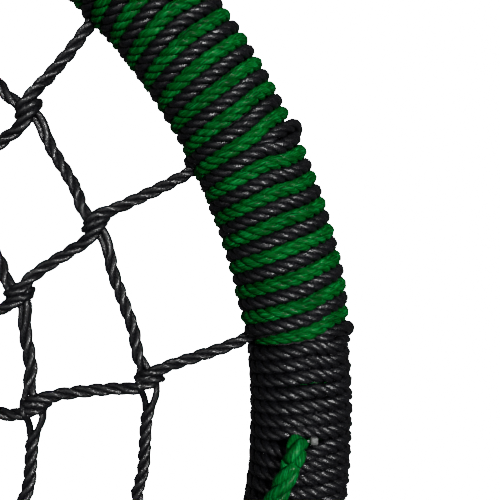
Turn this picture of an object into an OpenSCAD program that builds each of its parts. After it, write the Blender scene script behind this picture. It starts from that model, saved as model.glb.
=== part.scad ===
// Round climbing net: a rope-bound steel ring with a hand-tied web of rope inside it.
// The ring lies on a floor at Z = 0 and the origin is the ring's centre on that floor.
// Every 18 degrees one radial rope of the net is hitched round the ring. Four hanger loops
// stand at 0, 90, 180 and 270 degrees, each at the middle of a plain black stretch of binding.

/* [Ring] */
// Diameter of the ring, measured along the centre line of its tube
ring_d = 930; // [780:5:1150]
// Outer diameter of the steel tube
tube_d = 25; // [20:1:32]
// Wall of the steel tube
tube_wall = 2; // [1.5:0.5:3]
// Length of the backing sleeve inside the tube's welded seam
sleeve_len = 80; // [50:5:120]

/* [Binding] */
// Diameter of the rope that binds the ring
wrap_rope_d = 10; // [9:0.5:14]
// Wall of the foam sleeve under the two-colour binding
foam_wall = 20.2; // [14:0.2:26]

/* [Net] */
// Diameter of the net's rope
net_rope_d = 10; // [8:0.5:12]
// Gap from the ring's centre line to the outermost mesh ring
first_mesh_gap = 116; // [105:1:130]
// Step from one mesh ring to the next
mesh_step = 80; // [64:1:90]
// Diameter of a knot
knot_d = 22; // [18:1:26]
// Diameter of the centre ring, measured along its rope
centre_ring_d = 80; // [70:2:90]
// Thickness of the centre ring
centre_ring_t = 16; // [12:1:20]

/* [Hanger loops] */
// Diameter of the heavy hanger rope
hanger_rope_d = 16; // [12:1:18]
// Thickness of the hanger rope where the binding presses it flat
hanger_pressed = 15.5; // [11:0.5:17]

/* [Details] */
// Diameter of a melted rope end
fused_end_d = 6; // [4:0.5:7]
// How far a melted rope end stands out of the binding
fused_end_h = 4; // [3:0.5:5]
// Clearance between pieces that lie against each other
seat_gap = 0.3; // [0.2:0.05:0.4]
// Clearance of a sleeve on the tube
sleeve_gap = 0.2; // [0.1:0.05:0.3]

/* [Hidden] */
// Radial ropes, evenly spaced, five to each quarter of the ring
spoke_count = 20;
// Mesh rings, from the outermost inwards
mesh_count = 4;
// Degrees that each mesh ring lags behind the radial ropes' hitches on the ring
mesh_lag = [1.6, 5, 6, 6];
cell_angle = 360 / spoke_count;
ring_r = ring_d / 2;
tube_r = tube_d / 2;
sleeve_r = tube_r + sleeve_gap;
foam_r = sleeve_r + foam_wall;
coil_r = sleeve_r + hanger_pressed;
// Outer radius of the two-colour binding, and of the plain black binding
bound_r = foam_r + sleeve_gap + wrap_rope_d;
plain_r = coil_r + sleeve_gap + wrap_rope_d;
ring_z = bound_r;
// Turns of binding between two hitches: an even number, so that the two colours alternate
cell_arc = ring_r * PI * cell_angle / 180;
turns = 2 * round((cell_arc / wrap_rope_d - 1) / 2);
turn_angle = cell_angle / (turns + 1);
turn_gap = 0.25;
// Width of one turn as drawn: it fits at the inner side of the ring, where turns crowd together
turn_w = (ring_r - bound_r) * PI * turn_angle / 180 - turn_gap;
outer_pitch = (ring_r + plain_r) * PI * turn_angle / 180;
bump_r = outer_pitch - turn_w / 2 - seat_gap;
bump_rise = 4;
bump_tilt = 20;
// The plain black stretch reaches one cell each side of its hanger loop
coil_half_angle = cell_angle - 0.65 * turn_angle;
foam_half_angle = 1.5 * cell_angle + 0.45 * turn_angle;
seam_angle = 0.6;
slit_w = 1;
// The hanger loop's route over the binding, as [distance along the ring, distance down the inner side]
loop_route = [
    [66, 16], [58, 18], [50, 20.5], [41, 23.5], [33, 26.5], [25, 29.5], [16, 32.5], [8, 34.5], [0, 35],
    [-8, 34.5], [-16, 32.5], [-25, 29.5], [-33, 26.5], [-41, 23.5], [-50, 20.5], [-58, 18], [-66, 16]
];
loop_sides = 10;
loop_lay_r = plain_r + hanger_rope_d / 2 + seat_gap + 0.2;
exit_angle = loop_route[0][0] / ring_r * 180 / PI;
// How far down the inner side the hanger rope comes up, and its distance there from the ring's centre
exit_tilt = loop_route[0][1] / loop_lay_r * 180 / PI;
exit_r = ring_r - loop_lay_r * sin(exit_tilt);
// How far down the outer side the melted rope end stands
fused_tilt = 5;
HANGERS = [1, 2, 3, 4];

// Radius of mesh ring m, counted from 1 at the outside
function mesh_r(m) = ring_r - first_mesh_gap - (m - 1) * mesh_step;
// Direction of knot m on radial rope k
function knot_angle(k, m) = k * cell_angle - mesh_lag[m - 1];
function polar(r, a, z = ring_z) = [r * cos(a), r * sin(a), z];
function knot(k, m) = polar(mesh_r(m), knot_angle(k, m));
function unit(v) = v / norm(v);
// Inner mesh rings hold only every second radial rope
function step_of(m) = m < mesh_count ? 1 : 2;
// A point of the loop's route, on the binding's surface about the ring's centre line
function on_binding(p) =
    let (a = p[0] / ring_r * 180 / PI, tilt = p[1] / loop_lay_r * 180 / PI)
    polar(ring_r - loop_lay_r * sin(tilt), a, ring_z + loop_lay_r * cos(tilt));

// Moves its children from the tube's centre line at the +X side to the given angle round the ring
module at_ring(angle) {
    rotate([0, 0, angle]) translate([ring_r, 0, ring_z]) children();
}

// Bends a 2D cross-section along the ring, from one angle to another
module bent(from, to) {
    translate([0, 0, ring_z])
        rotate([0, 0, from])
            rotate_extrude(angle = to - from, $fn = 180) translate([ring_r, 0]) children();
}

module annulus(outer, inner) {
    difference() {
        circle(r = outer, $fn = 64);
        circle(r = inner, $fn = 64);
    }
}

// One turn of binding rope round the ring, whose outer radius is given
module turn(outer) {
    rotate([90, 0, 0])
        rotate_extrude($fn = 72)
            translate([outer - wrap_rope_d, -turn_w / 2])
                polygon([
                    [0, 1.5], [1.5, 0], [wrap_rope_d - 3, 0], [wrap_rope_d - 0.8, 1.6],
                    [wrap_rope_d, 3.6], [wrap_rope_d, turn_w - 3.6], [wrap_rope_d - 0.8, turn_w - 1.6],
                    [wrap_rope_d - 3, turn_w], [1.5, turn_w], [0, turn_w - 1.5]
                ]);
}

// A straight length of net rope between two points, cut back at each end
module leg(a, b, cut_a, cut_b) {
    d = unit(b - a);
    length = norm(b - a) - cut_a - cut_b;
    translate(a + d * cut_a)
        rotate([0, acos(d[2]), atan2(d[1], d[0])])
            cylinder(d = net_rope_d, h = length, $fn = 32);
}

module steel_ring() {
    color("silver")
        bent(45 + seam_angle / 2, 405 - seam_angle / 2) annulus(tube_r, tube_r - tube_wall);
}

module weld_bead() {
    color("dimgray")
        bent(45 - seam_angle / 2, 45 + seam_angle / 2) annulus(tube_r, tube_r - tube_wall);
}

module backing_sleeve() {
    half = sleeve_len / 2 / ring_r * 180 / PI;
    outer = tube_r - tube_wall - sleeve_gap;
    color("slategray")
        bent(45 - half, 45 + half) annulus(outer, outer - tube_wall);
}

// Foam pipe lagging, slit along its inner side so that it goes over the tube
module foam_sleeve(i) {
    color("dimgray")
        bent(i * 90 - 45 - foam_half_angle, i * 90 - 45 + foam_half_angle)
            difference() {
                annulus(foam_r, sleeve_r);
                translate([-foam_r - 1, -slit_w / 2]) square([foam_r, slit_w]);
            }
}

// The hanger rope's turns round the bare tube, and its two ends that come up through the binding
module hanger_coil(i) {
    rise = loop_lay_r - coil_r - seat_gap;
    color("darkgreen") {
        bent((i - 1) * 90 - coil_half_angle, (i - 1) * 90 + coil_half_angle) annulus(coil_r, sleeve_r);
        for (side = [-1, 1])
            at_ring((i - 1) * 90 + side * exit_angle)
                rotate([0, -exit_tilt, 0]) translate([0, 0, coil_r + seat_gap])
                    rotate_extrude($fn = 48) {
                        square([hanger_rope_d / 2, rise]);
                        translate([0, rise])
                            intersection() {
                                circle(d = hanger_rope_d, $fn = 48);
                                square(hanger_rope_d);
                            }
                    }
    }
}

// The free bow of the hanger rope, which lies over the binding and lifts on its two ends
module hanger_loop(i) {
    start = hanger_rope_d / 2 + seat_gap + 0.2;
    raw = [for (p = loop_route) on_binding(p)];
    last = len(raw) - 1;
    path = [
        for (n = [0 : last])
            n == 0 ? raw[0] + unit(raw[1] - raw[0]) * start
            : n == last ? raw[last] + unit(raw[last - 1] - raw[last]) * start
            : raw[n]
    ];
    kept = [for (n = [0 : last]) if (n == 0 || n == last || (n > 1 && n < last - 1)) path[n]];
    color("green") rotate([0, 0, (i - 1) * 90]) tube(kept, hanger_rope_d / 2, loop_sides);
}

// A tube swept along a path that never runs straight up
module tube(path, r, sides) {
    count = len(path);
    ahead = [
        for (n = [0 : count - 1]) unit(path[min(n + 1, count - 1)] - path[max(n - 1, 0)])
    ];
    side = [for (t = ahead) unit(cross([0, 0, 1], t))];
    points = [
        for (n = [0 : count - 1])
            for (s = [0 : sides - 1])
                let (a = 360 * s / sides)
                path[n] + r * (cos(a) * side[n] + sin(a) * cross(ahead[n], side[n]))
    ];
    walls = [
        for (n = [0 : count - 2])
            for (s = [0 : sides - 1])
                let (next = (s + 1) % sides)
                [n * sides + s, n * sides + next, (n + 1) * sides + next, (n + 1) * sides + s]
    ];
    first_cap = [for (s = [sides - 1 : -1 : 0]) s];
    last_cap = [for (s = [0 : sides - 1]) (count - 1) * sides + s];
    polyhedron(
        points = points,
        faces = [for (f = concat(walls, [first_cap, last_cap])) [for (n = [len(f) - 1 : -1 : 0]) f[n]]]
    );
}

// Every second turn of the two-colour binding, starting at the given turn, in three cells
module two_colour_turns(i, first) {
    for (cell = [1 : 3])
        for (t = [first : 2 : turns])
            rotate([0, 0, (i - 1) * 90 + cell * cell_angle + t * turn_angle])
                translate([ring_r, 0, ring_z]) turn(bound_r);
}

module green_winding(i) {
    color("green") two_colour_turns(i, 1);
}

module black_winding(i) {
    color([0.1, 0.1, 0.11]) two_colour_turns(i, 2);
}

// The plain black binding, two cells long, left open where the hanger rope comes up through it
module plain_winding(i) {
    hole_d = hanger_rope_d + 2 * seat_gap;
    reach = (hole_d / 2 + turn_w / 2) / exit_r * 180 / PI;
    color([0.1, 0.1, 0.11])
        for (cell = [-1, 0])
            for (t = [1 : turns]) {
                angle = cell * cell_angle + t * turn_angle;
                exit = sign(angle) * exit_angle;
                if (abs(angle - exit) < reach)
                    difference() {
                        at_ring((i - 1) * 90 + angle) turn(plain_r);
                        at_ring((i - 1) * 90 + exit)
                            rotate([0, -exit_tilt, 0]) cylinder(d = hole_d, h = 2 * plain_r, $fn = 48);
                    }
                else
                    at_ring((i - 1) * 90 + angle) turn(plain_r);
            }
}

// The melted tail of each plain binding, beside the place where the hanger rope comes up
module fused_ends() {
    color("lightgray")
        for (i = HANGERS)
            at_ring((i - 1) * 90 + exit_angle)
                rotate([0, fused_tilt, 0])
                    translate([0, 0, plain_r + seat_gap]) cylinder(d = fused_end_d, h = fused_end_h, $fn = 32);
}

// Radial rope k: its round turn and stopper bump on the ring, then its legs from knot to knot
module radial_rope(k) {
    outer = k % 5 == 0 ? plain_r : bound_r;
    ring_point = polar(ring_r, k * cell_angle);
    knots = k % 2 == 0 ? mesh_count : mesh_count - 1;
    cut = knot_d / 2 + seat_gap;
    // The first leg leaves the ring a little askew, so its end stands off by what its rim needs
    inward = unit(polar(0, 0) - ring_point);
    skew = acos(unit(knot(k, 1) - ring_point) * inward);
    ring_cut = (outer + seat_gap + net_rope_d / 2 * sin(skew)) / cos(skew);
    inner_end = polar(centre_ring_d / 2 + centre_ring_t / 2, knot_angle(k, mesh_count));
    color([0.12, 0.12, 0.13]) {
        at_ring(k * cell_angle) {
            turn(outer);
            rotate([0, 90 - bump_tilt, 0]) translate([0, 0, outer + bump_rise - bump_r]) sphere(r = bump_r, $fn = 32);
        }
        leg(ring_point, knot(k, 1), ring_cut, cut);
        for (m = [1 : knots - 1]) leg(knot(k, m), knot(k, m + 1), cut, cut);
        if (k % 2 == 0) leg(knot(k, mesh_count), inner_end, cut, seat_gap);
    }
}

// Mesh ring m: its knots on the radial ropes and its legs between them
module mesh_ring(m) {
    cut = knot_d / 2 + seat_gap;
    step = step_of(m);
    color([0.12, 0.12, 0.13])
        for (k = [step : step : spoke_count]) {
            translate(knot(k, m)) sphere(d = knot_d, $fn = 32);
            leg(knot(k, m), knot(k + step, m), cut, cut);
        }
}

module centre_ring() {
    color([0.12, 0.12, 0.13])
        translate([0, 0, ring_z])
            rotate_extrude($fn = 96) translate([centre_ring_d / 2, 0]) circle(d = centre_ring_t, $fn = 32);
}

steel_ring();
weld_bead();
backing_sleeve();
for (i = HANGERS) foam_sleeve(i);
for (i = HANGERS) hanger_coil(i);
for (i = HANGERS) hanger_loop(i);
for (i = HANGERS) green_winding(i);
for (i = HANGERS) black_winding(i);
for (i = HANGERS) plain_winding(i);
fused_ends();
for (k = [1 : spoke_count]) radial_rope(k);
for (m = [1 : mesh_count]) mesh_ring(m);
centre_ring();
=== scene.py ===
"""Round climbing net: a steel ring bound with rope, a hand-tied rope web and four hanger loops.

Lengths are in metres. The ring's centre is at x = y = 0 and the ring lies on the floor at z = 0.
Angles round the ring run anticlockwise from +X. The angle round the tube runs from its inner
flank (0) over the top (90 degrees) to its outer flank (180 degrees) and underneath (270 degrees).
"""

import logging
import math
from dataclasses import dataclass, field
from enum import Enum

import bmesh
import bpy
import numpy as np
from mathutils import Matrix, Vector


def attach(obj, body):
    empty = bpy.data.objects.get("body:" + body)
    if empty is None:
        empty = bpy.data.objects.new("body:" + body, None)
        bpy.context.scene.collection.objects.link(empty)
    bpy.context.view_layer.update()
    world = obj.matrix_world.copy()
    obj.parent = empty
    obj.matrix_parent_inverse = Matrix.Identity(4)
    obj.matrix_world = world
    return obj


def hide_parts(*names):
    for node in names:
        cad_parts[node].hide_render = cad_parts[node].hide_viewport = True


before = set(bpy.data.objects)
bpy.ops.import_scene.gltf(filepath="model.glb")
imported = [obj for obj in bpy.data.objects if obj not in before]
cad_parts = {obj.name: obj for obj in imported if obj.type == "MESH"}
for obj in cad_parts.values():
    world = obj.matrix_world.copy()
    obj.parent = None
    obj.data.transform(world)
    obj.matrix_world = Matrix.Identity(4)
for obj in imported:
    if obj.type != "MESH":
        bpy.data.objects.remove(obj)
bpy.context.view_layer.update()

LOG = logging.getLogger("climbing_net")
Colour = tuple[float, float, float, float]
SIDES = 8
NET_BODY = "ring_and_net"
EXIT_ALONG = 66.0
EXIT_ANGLE = math.degrees(EXIT_ALONG / 465.0)
EXIT_AROUND = 71.0


class Piece(Enum):
    """Kinds of rope in the net, by what they do."""

    GREEN_BINDING = "green_rope"
    BLACK_BINDING = "black_rope"
    NET = "net_rope"
    HANGER = "hanger_rope"


# ---------------------------------------------------------------------------------------------
# Finishes
# ---------------------------------------------------------------------------------------------


class Nodes:
    """A short way to make and link the shader nodes of one material."""

    def __init__(self, name: str) -> None:
        """Starts a material with an empty tree.

        Args:
            name: The material's name.
        """
        self.material = bpy.data.materials.new(name)
        self.material.use_nodes = True
        self.tree = self.material.node_tree
        self.tree.nodes.clear()

    def add(self, kind: str, **values: object) -> bpy.types.Node:
        """Adds a node.

        Args:
            kind: The node's type.
            **values: Input values by socket name with underscores for spaces, or properties.

        Returns:
            The node.
        """
        node = self.tree.nodes.new(kind)
        for key, value in values.items():
            label = key.replace("_", " ")
            if label in node.inputs:
                node.inputs[label].default_value = value
            else:
                setattr(node, key, value)
        return node

    def link(self, start: bpy.types.NodeSocket, end: bpy.types.NodeSocket) -> None:
        """Links two sockets."""
        self.tree.links.new(start, end)

    def ramp(self, source: bpy.types.NodeSocket, stops: list[tuple[float, Colour]]) -> bpy.types.NodeSocket:
        """Maps a value through a colour ramp.

        Args:
            source: The value's socket.
            stops: Places and colours, in order.

        Returns:
            The ramp's colour socket.
        """
        node = self.add("ShaderNodeValToRGB")
        band = node.color_ramp.elements
        while len(band) < len(stops):
            band.new(0.5)
        for element, (place, colour) in zip(band, stops):
            element.position = place
            element.color = colour
        self.link(source, node.inputs["Fac"])
        return node.outputs["Color"]

    def finish(self, shader: bpy.types.Node) -> bpy.types.Material:
        """Links the shader to the output and gives the material back."""
        output = self.add("ShaderNodeOutputMaterial")
        self.link(shader.outputs["BSDF"], output.inputs["Surface"])
        return self.material


def grey(value: float) -> Colour:
    """A grey of the given linear value."""
    return (value, value, value, 1.0)


@dataclass(frozen=True)
class RopeFinish:
    """Bright spun fibre, with streaks that run along the yarns: the streak colour is darker in the yarn grooves as
    painted shade and lighter on the yarn crests as painted highlight, over the fibres' own uneven tone; flecks of
    painted glint can be added too.
    """

    name: str
    # Colour in the yarn grooves: painted shade.
    painted_groove_shade: Colour
    body: Colour
    # Colour on the yarn crests: painted highlight.
    painted_crest_light: Colour
    specular: float
    roughness: float = 0.50
    # Strength of the painted glints: pale flecks added to the colour in place of highlights off the fibres.
    painted_glint: float = 0.0

    def material(self) -> bpy.types.Material:
        """Builds the finish from the rope's own fibre attribute.

        Returns:
            The material.
        """
        n = Nodes(self.name)
        fibre = n.add("ShaderNodeAttribute", attribute_name="fibre")
        yarn = n.add("ShaderNodeTexNoise", Scale=3.0, Detail=3.0, Roughness=0.62)
        n.link(fibre.outputs["Vector"], yarn.inputs["Vector"])
        place = n.add("ShaderNodeTexCoord")
        patch = n.add("ShaderNodeTexNoise", Scale=55.0, Detail=2.0, Roughness=0.5)
        n.link(place.outputs["Object"], patch.inputs["Vector"])
        # The yarn noise also drives the bump below, so this ramp paints shade into the low grooves and highlight
        # onto the raised crests, on top of the fibres' own streaky tone.
        streak_and_painted_relief = n.ramp(yarn.outputs["Fac"], [(0.30, self.painted_groove_shade), (0.52, self.body), (0.74, self.painted_crest_light)])
        shade = n.ramp(patch.outputs["Fac"], [(0.30, grey(0.62)), (0.70, grey(1.0))])
        mix = n.add("ShaderNodeMix", data_type="RGBA", blend_type="MULTIPLY")
        mix.inputs["Factor"].default_value = 1.0
        n.link(streak_and_painted_relief, mix.inputs["A"])
        n.link(shade, mix.inputs["B"])
        colour = mix.outputs["Result"]
        finer = n.add("ShaderNodeMapping")
        finer.inputs["Scale"].default_value = (1.0, 1.0, 2.4)
        n.link(fibre.outputs["Vector"], finer.inputs["Vector"])
        spark = n.add("ShaderNodeTexNoise", Scale=8.0, Detail=2.0, Roughness=0.7)
        n.link(finer.outputs["Vector"], spark.inputs["Vector"])
        gloss = n.ramp(spark.outputs["Fac"], [(0.47, grey(self.roughness)), (0.54, grey(self.roughness * 0.28))])
        # Painted glints: where the spark noise is high, a pale grey is added to the base colour as flecks of
        # highlight off the fibres.
        if self.painted_glint:
            painted_glints = n.ramp(spark.outputs["Fac"], [(0.60, grey(0.0)), (0.72, grey(self.painted_glint))])
            lit = n.add("ShaderNodeMix", data_type="RGBA", blend_type="ADD")
            lit.inputs["Factor"].default_value = 1.0
            n.link(colour, lit.inputs["A"])
            n.link(painted_glints, lit.inputs["B"])
            colour = lit.outputs["Result"]
        bump = n.add("ShaderNodeBump", Strength=0.75, Distance=0.0006)
        n.link(yarn.outputs["Fac"], bump.inputs["Height"])
        shader = n.add("ShaderNodeBsdfPrincipled", Specular_IOR_Level=self.specular)
        n.link(colour, shader.inputs["Base Color"])
        n.link(gloss, shader.inputs["Roughness"])
        n.link(bump.outputs["Normal"], shader.inputs["Normal"])
        return n.finish(shader)


@dataclass(frozen=True)
class GrainFinish:
    """A plain substance with a fine grain: metal, foam or melted plastic."""

    name: str
    dark: Colour
    light: Colour
    scale: float
    roughness: float
    rough_spread: float = 0.1
    metallic: float = 0.0
    relief: float = 0.0002

    def material(self) -> bpy.types.Material:
        """Builds the finish from the piece's own place.

        Returns:
            The material.
        """
        n = Nodes(self.name)
        place = n.add("ShaderNodeTexCoord")
        coarse = n.add("ShaderNodeTexVoronoi", Scale=self.scale)
        fine = n.add("ShaderNodeTexNoise", Scale=self.scale * 2.5, Detail=4.0, Roughness=0.6)
        n.link(place.outputs["Object"], coarse.inputs["Vector"])
        n.link(place.outputs["Object"], fine.inputs["Vector"])
        blend = n.add("ShaderNodeMath", operation="MULTIPLY_ADD")
        n.link(coarse.outputs["Distance"], blend.inputs[0])
        blend.inputs[1].default_value = 0.35
        n.link(fine.outputs["Fac"], blend.inputs[2])
        colour = n.ramp(blend.outputs["Value"], [(0.35, self.dark), (0.80, self.light)])
        rough = n.ramp(
            fine.outputs["Fac"],
            [(0.3, grey(self.roughness - self.rough_spread)), (0.7, grey(self.roughness + self.rough_spread))],
        )
        bump = n.add("ShaderNodeBump", Strength=0.5, Distance=self.relief)
        n.link(fine.outputs["Fac"], bump.inputs["Height"])
        shader = n.add("ShaderNodeBsdfPrincipled", Metallic=self.metallic)
        n.link(colour, shader.inputs["Base Color"])
        n.link(rough, shader.inputs["Roughness"])
        n.link(bump.outputs["Normal"], shader.inputs["Normal"])
        return n.finish(shader)


# Each rope's groove and crest colours are painted shade and painted highlight; on the green ropes the crest colour
# stands in for their highlights.
GREEN_FIBRE = RopeFinish(
    name="green_fibre",
    painted_groove_shade=(0.0002, 0.014, 0.0025, 1),
    body=(0.0014, 0.064, 0.0075, 1),
    painted_crest_light=(0.005, 0.215, 0.046, 1),
    specular=0.05,
)
HANGER_FIBRE = RopeFinish(
    name="hanger_fibre",
    painted_groove_shade=(0.0003, 0.020, 0.004, 1),
    body=(0.0016, 0.085, 0.012, 1),
    painted_crest_light=(0.005, 0.235, 0.055, 1),
    specular=0.05,
)
# The black binding and net ropes also get faint painted glints.
BLACK_FIBRE = RopeFinish(
    name="black_fibre",
    painted_groove_shade=(0.0008, 0.0008, 0.0012, 1),
    body=(0.0030, 0.0030, 0.0046, 1),
    painted_crest_light=(0.0030, 0.0028, 0.0048, 1),
    painted_glint=0.02,
    specular=0.36,
)
NET_FIBRE = RopeFinish(
    name="net_fibre",
    painted_groove_shade=(0.0008, 0.0008, 0.0012, 1),
    body=(0.0032, 0.0032, 0.0048, 1),
    painted_crest_light=(0.0028, 0.0028, 0.0042, 1),
    painted_glint=0.02,
    specular=0.36,
)
GALVANISED = GrainFinish("galvanised", grey(0.30), grey(0.52), 90.0, 0.42, 0.12, 0.9)
WELD = GrainFinish("weld_metal", grey(0.10), grey(0.26), 260.0, 0.55, 0.15, 0.8, 0.0008)
FOAM = GrainFinish("closed_cell_foam", grey(0.004), grey(0.012), 480.0, 0.85, 0.05, 0.0, 0.0006)
MELTED = GrainFinish(
    "melted_rope_end", (0.035, 0.038, 0.036, 1), (0.075, 0.078, 0.074, 1), 420.0, 0.38, 0.12, 0.0, 0.0006
)


# ---------------------------------------------------------------------------------------------
# Rope
# ---------------------------------------------------------------------------------------------


@dataclass(frozen=True)
class RopeSize:
    """Sizes of a right-laid rope of three strands."""

    diameter: float
    lay: float
    rings: int = 10
    strand_share: float = 0.525
    offset_share: float = 0.252

    @property
    def strand(self) -> float:
        """Diameter of one strand."""
        return self.diameter * self.strand_share

    @property
    def offset(self) -> float:
        """Distance of a strand's line from the rope's own line."""
        return self.diameter * self.offset_share


WRAP = RopeSize(0.0111, 0.0265)
NET = RopeSize(0.0104, 0.036)
HANGER = RopeSize(0.0156, 0.044, rings=12)
COIL = RopeSize(0.0143, 0.044, rings=8)


def unit(v: np.ndarray) -> np.ndarray:
    """Each row (or the one vector) at length one."""
    return v / np.linalg.norm(v, axis=-1, keepdims=True)


def lengths(points: np.ndarray) -> np.ndarray:
    """Distance along a line at each of its points."""
    return np.concatenate([[0.0], np.cumsum(np.linalg.norm(np.diff(points, axis=0), axis=1))])


def resample(points: np.ndarray, step: float) -> np.ndarray:
    """Spaces the points of a line evenly.

    Args:
        points: The line's points.
        step: Wanted distance between points.

    Returns:
        Points of the same line, about one step apart.
    """
    along = lengths(points)
    count = max(4, int(round(along[-1] / step)) + 1)
    at = np.linspace(0, along[-1], count)
    return np.stack([np.interp(at, along, points[:, c]) for c in range(3)], axis=1)


def smooth(points: list, step: float = 0.001, closed: bool = False) -> np.ndarray:
    """Draws a smooth line through a few points.

    Args:
        points: The points, in order.
        step: Distance between the points of the answer.
        closed: Whether the line joins its own start.

    Returns:
        The line's points.
    """
    p = np.array(points, dtype=float)
    if closed:
        p = np.concatenate([p[-1:], p, p[:2]])
    else:
        p = np.concatenate([2 * p[:1] - p[1:2], p, 2 * p[-1:] - p[-2:-1]])
    knots = np.concatenate([[0.0], np.cumsum(np.sqrt(np.linalg.norm(np.diff(p, axis=0), axis=1)))])
    parts = []
    for i in range(1, len(p) - 2):
        t0, t1, t2, t3 = knots[i - 1 : i + 3]
        t = np.linspace(t1, t2, max(3, int(np.linalg.norm(p[i + 1] - p[i]) / step)), endpoint=False)[:, None]
        a1 = (t1 - t) / (t1 - t0) * p[i - 1] + (t - t0) / (t1 - t0) * p[i]
        a2 = (t2 - t) / (t2 - t1) * p[i] + (t - t1) / (t2 - t1) * p[i + 1]
        a3 = (t3 - t) / (t3 - t2) * p[i + 1] + (t - t2) / (t3 - t2) * p[i + 2]
        b1 = (t2 - t) / (t2 - t0) * a1 + (t - t0) / (t2 - t0) * a2
        b2 = (t3 - t) / (t3 - t1) * a2 + (t - t1) / (t3 - t1) * a3
        parts.append((t2 - t) / (t2 - t1) * b1 + (t - t1) / (t2 - t1) * b2)
    parts.append(p[-2:-1])
    return np.concatenate(parts)


def frames(points: np.ndarray, closed: bool) -> tuple[np.ndarray, np.ndarray]:
    """Two directions across a line at each point, carried along without twist.

    Args:
        points: The line's points.
        closed: Whether the line joins its own start.

    Returns:
        The two directions, which turn right-handed about the line.
    """
    if closed:
        ahead = unit(np.roll(points, -1, axis=0) - np.roll(points, 1, axis=0))
    else:
        ahead = unit(np.gradient(points, axis=0))
    first = np.cross(ahead[0], (0.0, 0.0, 1.0) if abs(ahead[0][2]) < 0.9 else (1.0, 0.0, 0.0))
    side = np.empty_like(points)
    now = unit(first)
    for i, t in enumerate(ahead):
        now = now - t * float(now @ t)
        now = now / math.sqrt(float(now @ now))
        side[i] = now
    if closed:
        gap = now - ahead[0] * float(now @ ahead[0])
        gap = gap / math.sqrt(float(gap @ gap))
        angle = math.atan2(float(np.cross(side[0], gap) @ ahead[0]), float(side[0] @ gap))
        turn = -angle * np.arange(len(points)) / len(points)
        other = np.cross(ahead, side)
        side = side * np.cos(turn)[:, None] + other * np.sin(turn)[:, None]
    return side, np.cross(ahead, side)


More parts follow.
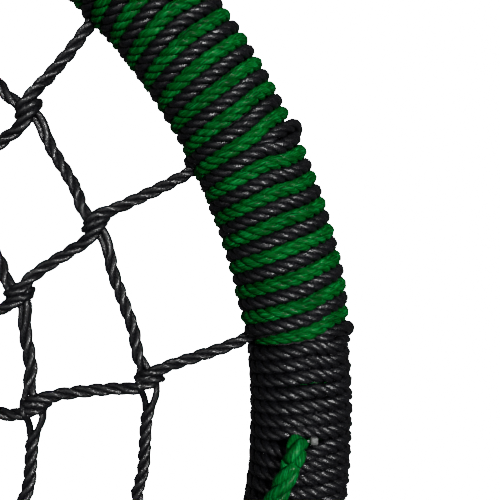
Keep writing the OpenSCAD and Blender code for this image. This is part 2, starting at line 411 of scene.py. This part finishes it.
class RopeMesh:
    """Gathers strands and turns them into one closed mesh with a fibre attribute."""

    YARN_TWIST = 230.0
    STREAK_RATE = 42.0

    def __init__(self) -> None:
        """Starts without any strand."""
        self.strands: list[tuple[np.ndarray, np.ndarray, bool]] = []

    def strand(self, points: np.ndarray, radius: float | np.ndarray, closed: bool = False) -> None:
        """Adds one strand.

        Args:
            points: Its centre line.
            radius: Its radius, the same all along or one for each point.
            closed: Whether it joins its own start.
        """
        self.strands.append((points, np.broadcast_to(radius, len(points)).astype(float), closed))

    def rope(
        self,
        points: np.ndarray,
        size: RopeSize,
        phase: float = 0.0,
        closed: bool = False,
        taper: tuple[float, float] = (0.0, 0.0),
        twist: np.ndarray | None = None,
        parted: np.ndarray | None = None,
    ) -> None:
        """Adds a laid rope.

        Args:
            points: The rope's own line, in fine steps.
            size: The rope's sizes.
            phase: Turn of the strands at the start, in radians.
            closed: Whether the rope joins its own start.
            taper: Lengths at the start and the end over which the rope thins to a point.
            twist: The strands' turn at each point of the line, in radians, where the lay isn't even.
            parted: How far each strand is pulled aside, as one row of three places for each strand.
        """
        total = lengths(points)[-1]
        line = resample(points, size.lay / size.rings)
        if closed:
            line = line[:-1]
        along = lengths(line)
        side, other = frames(line, closed)
        lays = round(total / size.lay) if closed else total / size.lay
        turned = 2 * math.pi * along / total * lays
        fine = lengths(points)
        if twist is not None:
            turned = np.interp(along, fine, twist)
        thin = np.ones(len(line))
        for length, gone in zip(taper, (along, total - along)):
            if length:
                thin = np.minimum(thin, 0.18 + 0.82 * np.clip(gone / length, 0, 1) ** 0.7)
        for j in range(3):
            a = (turned + 2 * math.pi * j / 3 + phase)[:, None]
            away = size.offset * thin[:, None] * (side * np.cos(a) + other * np.sin(a))
            if parted is not None:
                away = away + np.stack([np.interp(along, fine, parted[j][:, c]) for c in range(3)], axis=1)
            self.strand(line + away, size.strand / 2 * thin, closed)

    def object(self, name: str, material: bpy.types.Material, turn: float = 0.0) -> bpy.types.Object:
        """Makes the mesh.

        Args:
            name: The object's name.
            material: Its finish.
            turn: Angle in radians by which everything is turned round the ring's centre.

        Returns:
            The new object.
        """
        curve = bpy.data.curves.new(name, "CURVE")
        curve.dimensions = "3D"
        curve.bevel_depth = 1.0
        curve.bevel_resolution = SIDES // 2 - 2
        curve.use_fill_caps = True
        for points, radii, closed in self.strands:
            spline = curve.splines.new("POLY")
            spline.points.add(len(points) - 1)
            spline.points.foreach_set("co", np.c_[points, np.ones(len(points))].ravel())
            spline.points.foreach_set("radius", radii)
            spline.use_cyclic_u = closed
            spline.use_smooth = True
        source = bpy.data.objects.new(name, curve)
        bpy.context.scene.collection.objects.link(source)
        shown = source.evaluated_get(bpy.context.evaluated_depsgraph_get())
        mesh = bpy.data.meshes.new_from_object(shown)
        bpy.data.objects.remove(source)
        bpy.data.curves.remove(curve)
        fibre = mesh.attributes.new("fibre", "FLOAT_VECTOR", "POINT")
        fibre.data.foreach_set("vector", self.fibres(len(mesh.vertices)).ravel())
        weld(mesh)
        mesh.transform(Matrix.Rotation(turn, 4, "Z"))
        mesh.name = name
        mesh.materials.clear()
        mesh.materials.append(material)
        return link(name, mesh)

    def fibres(self, count: int) -> np.ndarray:
        """Where each point of the mesh lies in its strand: round it, twisted with the yarns, and along it.

        Args:
            count: Number of points in the mesh, caps first.

        Returns:
            One row for each point.
        """
        steps = np.arange(SIDES) * 2 * math.pi / SIDES
        bodies, caps = [], []
        for number, (points, _, closed) in enumerate(self.strands):
            along = lengths(points)[:, None]
            a = steps[None, :] + self.YARN_TWIST * along + number
            level = np.broadcast_to(along * self.STREAK_RATE + 3.7 * number, a.shape)
            rows = np.stack([np.cos(a), np.sin(a), level], axis=2)
            bodies.append(rows.reshape(-1, 3))
            if not closed:
                caps.insert(0, np.concatenate([rows[-1], rows[0]]))
        found = np.concatenate(caps + bodies)
        if len(found) != count:
            raise ValueError(f"{count} points in the mesh, and {len(found)} were expected")
        return found


def weld(mesh: bpy.types.Mesh) -> None:
    """Joins a mesh's doubled points, so that its caps close it."""
    bm = bmesh.new()
    bm.from_mesh(mesh)
    bmesh.ops.remove_doubles(bm, verts=bm.verts, dist=1e-7)
    bm.to_mesh(mesh)
    bm.free()


def link(name: str, mesh: bpy.types.Mesh) -> bpy.types.Object:
    """Puts a mesh into the scene as an object, and gives it back."""
    made = bpy.data.objects.new(name, mesh)
    bpy.context.scene.collection.objects.link(made)
    mesh.polygons.foreach_set("use_smooth", np.ones(len(mesh.polygons), dtype=bool))
    return made


def settle(piece: bpy.types.Object, body: str, slot: str, *nodes: str) -> None:
    """Ties a piece to its body and hides the CAD nodes it stands for.

    Args:
        piece: The piece.
        body: The body it moves with.
        slot: Name of its material slot; not used.
        *nodes: The CAD nodes that it replaces.
    """
    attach(piece, body)
    if nodes:
        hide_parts(*nodes)
    LOG.info("%s: %d faces on %s", piece.name, len(piece.data.polygons), body)


# ---------------------------------------------------------------------------------------------
# Ring and binding
# ---------------------------------------------------------------------------------------------


@dataclass
class Ring:
    """The steel ring's line, and places on the tube round it."""

    radius: float = 0.465
    level: float = 0.0431
    plain: float = 0.0384
    bound: float = 0.0431
    cell: float = 18.0
    turns: int = 14
    squeeze: float = 0.0028
    first_step: float = 0.0006
    hitch_ahead: float = 0.35

    @property
    def pitch(self) -> float:
        """Degrees of one turn of the binding, where no hitch lies between."""
        return self.cell / self.turns

    def place(self, angle: np.ndarray, around: np.ndarray, lay: np.ndarray | float) -> np.ndarray:
        """Points at a distance from the tube's centre line.

        Args:
            angle: Angles round the ring, in degrees.
            around: Angles round the tube, in degrees.
            lay: Distance from the tube's centre line.

        Returns:
            One point for each angle.
        """
        a, f = np.radians(angle), np.radians(around)
        r = self.radius - lay * np.cos(f)
        return np.stack([r * np.cos(a), r * np.sin(a), self.level + lay * np.sin(f)], axis=-1)

    @staticmethod
    def step(value: np.ndarray, start: float, end: float) -> np.ndarray:
        """A smooth rise from 0 at start to 1 at end."""
        t = np.clip((value - start) / (end - start), 0, 1)
        return t * t * (3 - 2 * t)

    def crowding(self, around: np.ndarray) -> np.ndarray:
        """How far plain turns are squeezed outwards where they crowd, at the inner flank."""
        return self.squeeze * np.clip(np.cos(np.radians(around)), 0, 1) ** 1.5

    def open_slot(self, around: np.ndarray) -> np.ndarray:
        """How far the turns stand apart for a hitch, from 0 to 1, round the tube."""
        f = np.mod(around, 360)
        return self.step(f, 88, 122) * (1 - self.step(f, 338, 360))

    def hitch_angle(self, k: float, around: np.ndarray, starts: float) -> np.ndarray:
        """Direction of hitch k round the tube.

        Args:
            k: Number of the radial rope.
            around: Angles round the tube, in degrees.
            starts: Turns by which the binding moves on in one round.

        Returns:
            Angles round the ring, in degrees.
        """
        return k * self.cell + self.pitch * starts * (around / 360 - 1) + self.hitch_ahead

    def turn_angle(self, k: float, slot: float, around: np.ndarray, starts: float) -> np.ndarray:
        """Direction of a turn of the binding that lies between hitches k and k + 1.

        Args:
            k: Number of the hitch before it.
            slot: Turns from that hitch, counted to the middle of this one.
            around: Angles round the tube, from 0 to 360 degrees.
            starts: Turns by which the binding moves on in one round.

        Returns:
            Angles round the ring, in degrees.
        """
        wide = self.open_slot(around)
        pitch = self.cell / (self.turns + wide)
        if starts == 2 and slot < 1:
            wide = wide * (2 * self.step(around, 150, 195) - 1)
        if starts == 1 and k == 0:
            reach = self.hitch_angle(1, around, 2.0) - self.hitch_angle(0, around, 1.0) - pitch * wide / 2
            stretched = reach / (self.turns - 1 + wide / 2)
            settled = self.step(around, 330, 360)
            pitch = stretched * (1 - settled) + self.pitch * settled
        return self.hitch_angle(k, around, starts) + pitch * (slot + wide / 2)

    def outer(self, turns_in: np.ndarray) -> np.ndarray:
        """Outer radius of the two-colour binding, so many turns from the plain stretch."""
        low = self.plain + self.first_step
        return low + (self.bound - low) * self.step(turns_in, -0.5, 3.4)


@dataclass
class Binding:
    """The rope bound round the ring, quarter by quarter."""

    ring: Ring
    finishes: dict[Piece, bpy.types.Material]
    bulges: tuple[float, ...] = (0.0008, 0.0042, 0.0012)
    points_per_turn: int = 96
    sunk: float = 0.49
    uneven_lay: float = 0.00022
    uneven_angle: float = 0.035
    exit_push: float = 0.72
    green_tip: float = 0.048
    plain_tip: float = 0.02
    end_taper: float = 0.03
    rng: np.random.Generator = field(default_factory=lambda: np.random.default_rng(1843))

    def wobble(self, count: int, size: float) -> np.ndarray:
        """A slow hand-made unevenness along a winding.

        Args:
            count: Number of values.
            size: The values' usual size.

        Returns:
            The values.
        """
        coarse = self.rng.normal(0, size, count * 4 // self.points_per_turn + 4)
        return np.interp(np.arange(count), np.arange(len(coarse)) * self.points_per_turn / 4, coarse)

    def line(self, stops: list[tuple[float, float]], starts: float, plain: bool) -> np.ndarray:
        """The line of one rope of a winding.

        Args:
            stops: For each turn, the hitch before it and its distance from it in turns.
            starts: Turns by which the binding moves on in one round.
            plain: Whether this is the plain black stretch.

        Returns:
            The line's points.
        """
        around = np.arange(self.points_per_turn) * 360 / self.points_per_turn
        angles = np.concatenate([self.ring.turn_angle(k, slot, around, starts) for k, slot in stops])
        circuit = np.tile(around, len(stops))
        if plain:
            outer = self.ring.plain + self.ring.crowding(circuit)
        else:
            cell = self.ring.turns + 1
            inside = np.array([min((k - 1) * cell + slot, (4 - k) * cell - slot) for k, slot in stops])
            outer = self.ring.outer(np.repeat(inside, len(around)))
        lay = outer - WRAP.diameter * self.sunk + self.wobble(len(angles), self.uneven_lay)
        if not plain:
            lay += np.concatenate([self.bulge(k, slot, around) for k, slot in stops])
        angles = angles + self.wobble(len(angles), self.uneven_angle)
        if plain:
            angles = self.part_round_exits(angles, circuit)
        return self.ring.place(angles, circuit, lay)

    def bulge(self, k: float, slot: float, around: np.ndarray) -> np.ndarray:
        """How far the first black turn after a hitch stands up where the radial rope leaves under it.

        Args:
            k: Number of the hitch before the turn.
            slot: Turns from that hitch.
            around: Angles round the tube, in degrees.

        Returns:
            The rise at each angle.
        """
        if slot not in (0.5, 2.5):
            return np.zeros(len(around))
        top = 352 if slot == 0.5 else -8
        return self.bulges[int(k) - 1] * np.exp(-(((around - top) / 13) ** 2))

    def part_round_exits(self, angles: np.ndarray, around: np.ndarray) -> np.ndarray:
        """Pushes the plain turns apart where the hanger rope comes up between them.

        Args:
            angles: Angles round the ring, in degrees.
            around: Angles round the tube, in degrees.

        Returns:
            The new angles round the ring.
        """
        near = np.exp(-(((around - EXIT_AROUND) / 24) ** 2))
        for side in (-1, 1):
            away = angles - side * EXIT_ANGLE
            push = self.exit_push * np.exp(-((away / 1.25) ** 2)) * near
            angles = angles + np.where(away >= 0, 1, -1) * push
        return angles

    def two_colour(self, i: int) -> None:
        """Builds the green and the black rope of one two-colour stretch.

        Args:
            i: Number of the quarter, from 1.
        """
        turn = math.radians((i - 1) * 90)
        for kind, first, node in (
            (Piece.GREEN_BINDING, 1.5, "green_winding"),
            (Piece.BLACK_BINDING, 0.5, "black_winding"),
        ):
            stops = [(c, first + 2 * t) for c in (1, 2, 3) for t in range(self.ring.turns // 2)]
            line = self.line(stops, 2.0, False)
            taper = (0.0, self.end_taper)
            if kind is Piece.GREEN_BINDING:
                line = line[3:-3]
                taper = (self.green_tip, self.end_taper)
            mesh = RopeMesh()
            mesh.rope(line, WRAP, phase=self.rng.uniform(0, 6), taper=taper)
            piece = mesh.object(f"{kind.value}_binding_{i}", self.finishes[kind], turn)
            settle(piece, NET_BODY, kind.value, f"{node}_{i}")

    def plain(self, i: int) -> None:
        """Builds one plain black stretch.

        Args:
            i: Number of the quarter, from 1.
        """
        stops = [(-1, 0.5 + t) for t in range(self.ring.turns)]
        stops += [(0, 0.5 + t) for t in range(self.ring.turns - 1)]
        mesh = RopeMesh()
        mesh.rope(self.line(stops, 1.0, True), WRAP, phase=self.rng.uniform(0, 6), taper=(self.plain_tip, 0.0))
        piece = mesh.object(f"plain_binding_{i}", self.finishes[Piece.BLACK_BINDING], math.radians((i - 1) * 90))
        settle(piece, NET_BODY, Piece.BLACK_BINDING.value, f"plain_winding_{i}")


# ---------------------------------------------------------------------------------------------
# Net
# ---------------------------------------------------------------------------------------------


@dataclass
class Net:
    """The web of radial ropes and mesh rings."""

    ring: Ring
    finish: bpy.types.Material
    radii: tuple[float, ...] = (0.349, 0.269, 0.189, 0.109)
    lags: tuple[float, ...] = (1.6, 5.0, 6.0, 6.0)
    spokes: int = 20
    slips: dict[tuple[int, int], tuple[float, float]] = field(
        default_factory=lambda: {
            (1, 1): (0.0019, -0.0064),
            (2, 1): (-0.0105, 0.0003),
            (3, 1): (0.0027, -0.0062),
            (1, 2): (-0.0030, 0.0002),
        }
    )
    openings: dict[tuple[int, int], float] = field(
        default_factory=lambda: {(1, 1): 1.0, (1, 2): 1.0, (6, 1): 0.8, (9, 2): 0.9, (13, 1): 1.0, (17, 2): 0.8}
    )
    knot_reach: float = 0.0071
    knot_flatness: float = 0.78
    knot_slide: float = 0.0035
    knot_jog: float = 0.0032
    slip_spread: float = 0.0018
    hitch_rise: float = 0.0046
    hitch_tuck: float = 0.0090
    strand_aside: float = 0.0066
    strand_rise: float = 0.0080
    other_aside: float = 0.0018
    shut: float = 0.12
    centre_radius: float = 0.040
    centre_rope: RopeSize = RopeSize(0.016, 0.042, rings=16)

    def knot(self, k: int, m: int) -> np.ndarray:
        """Middle of the knot of radial rope k on mesh ring m, counted from 1 at the outside."""
        k = (k - 1) % self.spokes + 1
        a = math.radians(k * self.ring.cell - self.lags[m - 1])
        r = self.radii[m - 1]
        rng = np.random.default_rng(100 * m + k)
        along, out = self.slips.get((k, m), tuple(rng.normal(0, self.slip_spread, 2)))
        return np.array([r * math.cos(a) + along, r * math.sin(a) + out, self.ring.level])

    def hitch(self, k: int) -> list[np.ndarray]:
        """The radial rope's round turn on the ring, from its tucked end to the inner flank."""
        starts = 1.0 if k % 5 == 0 else 2.0
        if k % 5 == 0:
            outer = self.ring.plain
        elif k % 5 in (1, 4):
            outer = float(self.ring.outer(np.array(0.0)))
        else:
            outer = self.ring.bound
        around = np.concatenate([np.linspace(88, 200, 24), np.linspace(208, 352, 19)])
        lay = np.full(len(around), outer - NET.diameter / 2)
        lay -= self.hitch_tuck * self.ring.step(-around, -116, -90)
        lay += self.hitch_rise * np.exp(-(((around - 162) / 19) ** 2))
        if k % 5 == 0:
            lay += self.ring.crowding(around)
        over = 1 - self.ring.step(around, 150, 190)
        angles = self.ring.hitch_angle(k, around, starts) + over * self.ring.cell / (self.ring.turns + 1)
        return list(self.ring.place(angles, around, lay))

    def spoke(self, k: int) -> None:
        """Builds radial rope k, from its hitch on the ring through its knots to its inner end.

        Args:
            k: Number of the radial rope, from 1.
        """
        path = self.hitch(k)
        knots = [self.knot(k, m) for m in range(1, 5 if k % 2 == 0 else 4)]
        up = np.array([0.0, 0.0, 1.0])
        inward = unit(knots[0] - path[-1])
        inward[2] = 0
        path.append(path[-1] + inward * 0.012 + up * 0.004)
        path.append(path[-1] + inward * 0.016)
        for m, centre in enumerate(knots):
            last = m == len(knots) - 1
            before = unit(centre - (knots[m - 1] if m else path[-1]))
            before[2] = 0
            after = before if last else unit(knots[m + 1] - centre)
            across = np.array([-after[1], after[0], 0.0])
            path.append(centre - before * 0.024 - across * 0.002)
            path.append(centre - before * 0.013 + up * 0.0035 - across * 0.003)
            for theta in range(60, 481, 30):
                t = math.radians(theta)
                slide = (theta - 270) / 210 * self.knot_slide
                turn = -after * math.cos(t) + up * math.sin(t) * self.knot_flatness
                path.append(centre + turn * self.knot_reach + across * slide)
            if last and k % 2:
                path.append(centre + after * 0.009 - up * 0.006 + across * 0.006)
                path.append(centre + after * 0.004 - up * 0.009 + across * 0.002)
            else:
                path.append(centre + after * 0.013 + up * 0.0035 + across * 0.005)
                path.append(centre + after * 0.024 + across * 0.003)
        if k % 2 == 0:
            path += self.centre_turn(knots[-1])
        mesh = RopeMesh()
        mesh.rope(smooth(path), NET, phase=0.7 * k, taper=(0.006, 0.006))
        piece = mesh.object(f"radial_net_rope_{k}", self.finish)
        settle(piece, NET_BODY, "net_rope", f"radial_rope_{k}")

    def centre_turn(self, start: np.ndarray) -> list[np.ndarray]:
        """The round turn of an inner end on the centre ring.

        Args:
            start: The last knot before it.

        Returns:
            The turn's points.
        """
        flat = unit(np.array([start[0], start[1], 0.0]))
        across = np.array([-flat[1], flat[0], 0.0])
        middle = flat * self.centre_radius + np.array([0.0, 0.0, self.ring.level])
        reach = self.centre_rope.diameter / 2 + 0.0044
        turn = []
        for theta in range(30, 421, 30):
            t = math.radians(theta)
            slide = (theta - 225) / 195 * 0.0052
            upright = np.array([0, 0, reach * math.sin(t)])
            turn.append(middle + flat * reach * math.cos(t) + upright + across * slide)
        return turn

    def mesh_ring(self, m: int) -> None:
        """Builds mesh ring m.

        Args:
            m: Number of the mesh ring, from 1 at the outside.
        """
        path, marks = [], []
        skip = 1 if m < 4 else 2
        for k in range(skip, self.spokes + 1, skip):
            here, following = self.knot(k, m), self.knot(k + skip, m)
            marks.append(here)
            dip = np.array([0.0, 0.0, -0.001])
            out_here, out_following = (unit(p * [1, 1, 0]) * self.knot_jog for p in (here, following))
            jog = {0.0: dip, 0.12: -out_here, 0.88: out_following}
            for share in (0.0, 0.12, 0.3, 0.5, 0.7, 0.88):
                sag = np.array([0.0, 0.0, -0.0015 * math.sin(math.pi * share)])
                path.append(here + (following - here) * share + jog.get(share, sag))
        line = smooth(path, closed=True)
        along = lengths(line)
        at = np.array([along[np.argmin(np.linalg.norm(line - mark, axis=1))] for mark in marks])
        twist, owner = self.locked_twist(along, at)
        parted = np.zeros((3, len(line), 3))
        inward = unit(-line * [1, 1, 0])
        for number, (place, strand) in enumerate(zip(at, owner)):
            wide = self.openings.get((skip * (number + 1), m), self.shut)
            gap = (along - place + along[-1] / 2) % along[-1] - along[-1] / 2
            aside = self.ring.step(-gap, -0.012, 0.002) * (1 - self.ring.step(-gap, 0.006, 0.028))
            over = np.exp(-(((gap + 0.005) / 0.008) ** 2))
            for j in range(3):
                if j == strand:
                    parted[j] += wide * aside[:, None] * inward * self.strand_aside
                    parted[j] += wide * over[:, None] * [0, 0, self.strand_rise]
                else:
                    parted[j] -= wide * aside[:, None] * inward * self.other_aside
        mesh = RopeMesh()
        mesh.rope(line, NET, closed=True, twist=twist, parted=parted)
        piece = mesh.object(f"mesh_net_rope_{m}", self.finish)
        settle(piece, NET_BODY, "net_rope", f"mesh_ring_{m}")

    @staticmethod
    def locked_twist(along: np.ndarray, at: np.ndarray) -> tuple[np.ndarray, list[int]]:
        """The strands' turn along a mesh ring, held still at each knot with one strand innermost.

        Args:
            along: Distance along the ring at each point.
            at: Distances of the knots.

        Returns:
            The turn at each point in radians, and the innermost strand at each knot.
        """
        still = (0.024, 0.006)
        stops, turns, owner, thirds = [], [], [], 0
        ends = np.append(at[1:], at[0] + along[-1])
        legs = [max(1, round(3 * (end - start - sum(still)) / NET.lay)) for start, end in zip(at, ends)]
        legs[-1] += -sum(legs) % 3
        for start, leg in zip(at, legs):
            owner.append(-thirds % 3)
            turned = math.pi + thirds * 2 * math.pi / 3
            stops += [start - still[0], start + still[1]]
            turns += [turned, turned]
            thirds += leg
        turned = thirds * 2 * math.pi / 3
        stops = [stops[-1] - along[-1], *stops, stops[0] + along[-1]]
        turns = [turns[-1] - turned, *turns, turns[0] + turned]
        return np.interp(along, stops, turns), owner

    def centre(self) -> None:
        """Builds the thick rope ring in the middle."""
        a = np.linspace(0, 2 * math.pi, 181)
        r = self.centre_radius
        line = np.stack([r * np.cos(a), r * np.sin(a), np.full(len(a), self.ring.level)], axis=1)
        mesh = RopeMesh()
        mesh.rope(line, self.centre_rope, closed=True)
        piece = mesh.object("centre_rope_ring", self.finish)
        settle(piece, NET_BODY, "net_rope", "centre_ring")


# ---------------------------------------------------------------------------------------------
# Hanger loops
# ---------------------------------------------------------------------------------------------


@dataclass
class HangerLoop:
    """A heavy rope coiled under the plain binding, whose free bow lies over it."""

    ring: Ring
    finish: bpy.types.Material
    route: tuple[tuple[float, float], ...] = (
        (58, 18), (50, 20.5), (41, 23.5), (33, 26.5), (25, 29.5), (16, 32.5), (8, 34.5), (0, 35),
        (-8, 34.5), (-16, 32.5), (-25, 29.5), (-33, 26.5), (-41, 23.5), (-50, 20.5), (-58, 18),
    )  # fmt: skip
    lay: float = 0.0469
    exit_down: float = 16.0
    start_gap: float = 0.0085
    coil_reach: float = 16.2
    coil_turns: int = 17
    coil_lay: float = 0.0172

    def on_binding(self, along: float, down: float) -> np.ndarray:
        """A point of the bow, from its distances along the ring and down the inner side in mm."""
        tilt = math.radians(down * 0.001 / self.lay * 180 / math.pi)
        a = along * 0.001 / self.ring.radius
        r = self.ring.radius - self.lay * math.sin(tilt)
        return np.array([r * math.cos(a), r * math.sin(a), self.ring.level + self.lay * math.cos(tilt)])

    def bow(self) -> np.ndarray:
        """The free bow's line at the first quarter."""
        ends = [self.on_binding(s * EXIT_ALONG, self.exit_down) for s in (1, -1)]
        points = [self.on_binding(*p) for p in self.route]
        first = ends[0] + unit(points[0] - ends[0]) * self.start_gap
        last = ends[1] + unit(points[-1] - ends[1]) * self.start_gap
        return smooth([first, *points[1:-1], last])

    def build(self, i: int) -> None:
        """Builds hanger i: its free bow, and the coil under the binding with its two elbows.

        Args:
            i: Number of the quarter, from 1.
        """
        turn = math.radians((i - 1) * 90)
        line = self.bow()
        mesh = RopeMesh()
        mesh.rope(line, HANGER)
        piece = mesh.object(f"hanger_bow_{i}", self.finish, turn)
        settle(piece, f"loop_{i}", Piece.HANGER.value, f"hanger_loop_{i}")
        coil = RopeMesh()
        around = np.linspace(0, 360 * self.coil_turns, 40 * self.coil_turns)
        along = np.linspace(-self.coil_reach, self.coil_reach, len(around))
        coil.rope(self.ring.place(along, around, self.coil_lay), COIL)
        for side, end in ((1, line[0]), (-1, line[-1])):
            nearby = line[4] if side == 1 else line[-5]
            ahead = unit(nearby - end)
            low = self.ring.place(np.array(side * (EXIT_ANGLE + 0.45)), np.array(EXIT_AROUND), 0.0290)
            mid = self.ring.place(np.array(side * (EXIT_ANGLE + 0.30)), np.array(EXIT_AROUND - 0.5), 0.0385)
            elbow = smooth([low, mid, end - ahead * 0.0070, end - ahead * 0.0005])
            if side == 1:
                coil.rope(elbow, HANGER, phase=self.phase_before(elbow, line))
            else:
                coil.rope(elbow[::-1], HANGER, phase=1.0)
        piece = coil.object(f"hanger_coil_rope_{i}", self.finish, turn)
        settle(piece, NET_BODY, Piece.HANGER.value, f"hanger_coil_{i}")

    @staticmethod
    def phase_before(elbow: np.ndarray, line: np.ndarray) -> float:
        """Turn of the strands at an elbow's start that brings them in line with the bow."""
        side, _ = frames(resample(elbow, 0.004), False)
        bow_side, _ = frames(resample(line, 0.004), False)
        ahead = unit(line[3] - line[0])
        angle = math.atan2(float(np.cross(side[-1], bow_side[0]) @ ahead), float(side[-1] @ bow_side[0]))
        return angle - 2 * math.pi * lengths(elbow)[-1] / HANGER.lay


@dataclass
class FusedEnds:
    """The melted rope ends beside the hangers."""

    ring: Ring
    finish: bpy.types.Material
    width: float = 0.0055
    beside: float = 0.75
    proud: float = 0.0022
    tilt: float = math.radians(-2.5)
    rough: float = 0.00012

    def build(self) -> None:
        """Builds the four melted ends as one piece."""
        bm = bmesh.new()
        reach = self.ring.plain + self.proud
        out = self.ring.radius + reach * math.sin(self.tilt)
        up = self.ring.level + reach * math.cos(self.tilt)
        for i in range(4):
            a = math.radians(i * 90 + EXIT_ANGLE + self.beside)
            spot = Matrix.Rotation(a, 4, "Z") @ Matrix.Translation((out, 0, up))
            made = bmesh.ops.create_cube(bm, size=self.width, matrix=spot @ Matrix.Rotation(self.tilt, 4, "Y"))
            edges = list({e for v in made["verts"] for e in v.link_edges})
            bmesh.ops.bevel(
                bm, geom=edges, offset=self.width * 0.24, affect="EDGES", segments=2, profile=0.5, material=-1
            )
        bmesh.ops.subdivide_edges(bm, edges=bm.edges, cuts=2, use_grid_fill=True)
        rng = np.random.default_rng(77)
        for v in bm.verts:
            v.co += v.normal * float(rng.normal(0, self.rough))
        mesh = bpy.data.meshes.new("melted_ends")
        bm.to_mesh(mesh)
        bm.free()
        mesh.materials.append(self.finish)
        settle(link("melted_ends", mesh), NET_BODY, "melted_rope", "fused_ends")


def dress(finishes: dict[str, tuple[str, ...]], made: dict[str, bpy.types.Material]) -> None:
    """Gives the CAD nodes that stay their finishes.

    Args:
        finishes: Starts of node names by finish.
        made: The finishes.
    """
    for name, starts in finishes.items():
        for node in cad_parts:
            if node.startswith(starts):
                piece = bpy.data.objects[node]
                for socket in piece.material_slots:
                    socket.material = made[name]
                LOG.info("%s: %s", node, name)


# ---------------------------------------------------------------------------------------------
# Studio
# ---------------------------------------------------------------------------------------------


@dataclass
class Studio:
    """Camera, floor and soft light."""

    place: tuple[float, float, float] = (0.30677, 0.18105, 0.5699)
    turn: tuple[float, float, float] = (0.18, -9.61, 10.34)
    lens: float = 50.4
    lit_spot: tuple[float, float, float] = (0.4, 0.2, 0.05)
    lamps: tuple[tuple[str, tuple[float, float, float], float, float], ...] = (
        ("key", (0.62, 0.45, 1.5), 0.26, 44.0),
        ("fill", (-0.7, 0.1, 1.4), 1.2, 8.0),
    )
    room_light: float = 0.08
    floor_radius: float = 9.0
    floor_level: float = -0.0005
    floor_glow: float = 40.0

    def camera(self) -> None:
        """Places the camera."""
        data = bpy.data.cameras.new("camera")
        data.sensor_width = 36.0
        data.lens = self.lens
        data.clip_start = 0.02
        camera = bpy.data.objects.new("camera", data)
        camera.location = self.place
        camera.rotation_euler = [math.radians(a) for a in self.turn]
        bpy.context.scene.collection.objects.link(camera)
        bpy.context.scene.camera = camera

    def floor(self) -> None:
        """Lays the pale floor, which turns up into a wall all round."""
        bm = bmesh.new()
        under = Matrix.Translation((0, 0, self.floor_level))
        disc = bmesh.ops.create_circle(bm, cap_ends=True, segments=64, radius=self.floor_radius, matrix=under)
        rim = list({e for v in disc["verts"] for e in v.link_edges})
        wall = bmesh.ops.extrude_edge_only(bm, edges=rim)["geom"]
        raised = [v for v in wall if isinstance(v, bmesh.types.BMVert)]
        bmesh.ops.translate(bm, vec=(0, 0, self.floor_radius), verts=raised)
        mesh = bpy.data.meshes.new("floor")
        bm.to_mesh(mesh)
        bm.free()
        n = Nodes("pale_floor")
        shader = n.add("ShaderNodeBsdfPrincipled", Roughness=0.9, Emission_Strength=self.floor_glow)
        shader.inputs["Base Color"].default_value = grey(0.85)
        shader.inputs["Emission Color"].default_value = grey(1.0)
        mesh.materials.append(n.finish(shader))
        floor = bpy.data.objects.new("floor", mesh)
        bpy.context.scene.collection.objects.link(floor)
        floor.visible_diffuse = False
        floor.visible_glossy = False
        floor.visible_shadow = False

    def light(self) -> None:
        """Hangs two soft lights in a pale room."""
        world = bpy.data.worlds.new("room")
        world.use_nodes = True
        world.node_tree.nodes["Background"].inputs["Color"].default_value = grey(1.0)
        world.node_tree.nodes["Background"].inputs["Strength"].default_value = self.room_light
        bpy.context.scene.world = world
        for name, place, size, power in self.lamps:
            lamp = bpy.data.lights.new(name, "AREA")
            lamp.size = size
            lamp.energy = power
            obj = bpy.data.objects.new(name, lamp)
            obj.location = place
            aim = Vector(self.lit_spot) - Vector(place)
            obj.rotation_euler = aim.to_track_quat("-Z", "Y").to_euler()
            bpy.context.scene.collection.objects.link(obj)


def main() -> None:
    """Builds the net."""
    logging.basicConfig(level=logging.INFO, format="%(name)s: %(message)s")
    studio = Studio()
    studio.camera()
    ropes = {
        Piece.GREEN_BINDING: GREEN_FIBRE.material(),
        Piece.BLACK_BINDING: BLACK_FIBRE.material(),
        Piece.NET: NET_FIBRE.material(),
        Piece.HANGER: HANGER_FIBRE.material(),
    }
    ring = Ring()
    hanger = HangerLoop(ring, ropes[Piece.HANGER])
    for i in range(1, 5):
        hanger.build(i)
    binding = Binding(ring, ropes)
    for i in range(1, 5):
        binding.two_colour(i)
        binding.plain(i)
    net = Net(ring, ropes[Piece.NET])
    for k in range(1, net.spokes + 1):
        net.spoke(k)
    for m in range(1, 5):
        net.mesh_ring(m)
    net.centre()
    FusedEnds(ring, MELTED.material()).build()
    dress(
        {"steel": ("steel_ring",), "weld": ("weld_bead",), "foam": ("foam_sleeve",), "sleeve": ("backing_sleeve",)},
        {
            "steel": GALVANISED.material(),
            "weld": WELD.material(),
            "foam": FOAM.material(),
            "sleeve": GALVANISED.material(),
        },
    )
    studio.floor()
    studio.light()


if __name__ == "__main__":
    main()
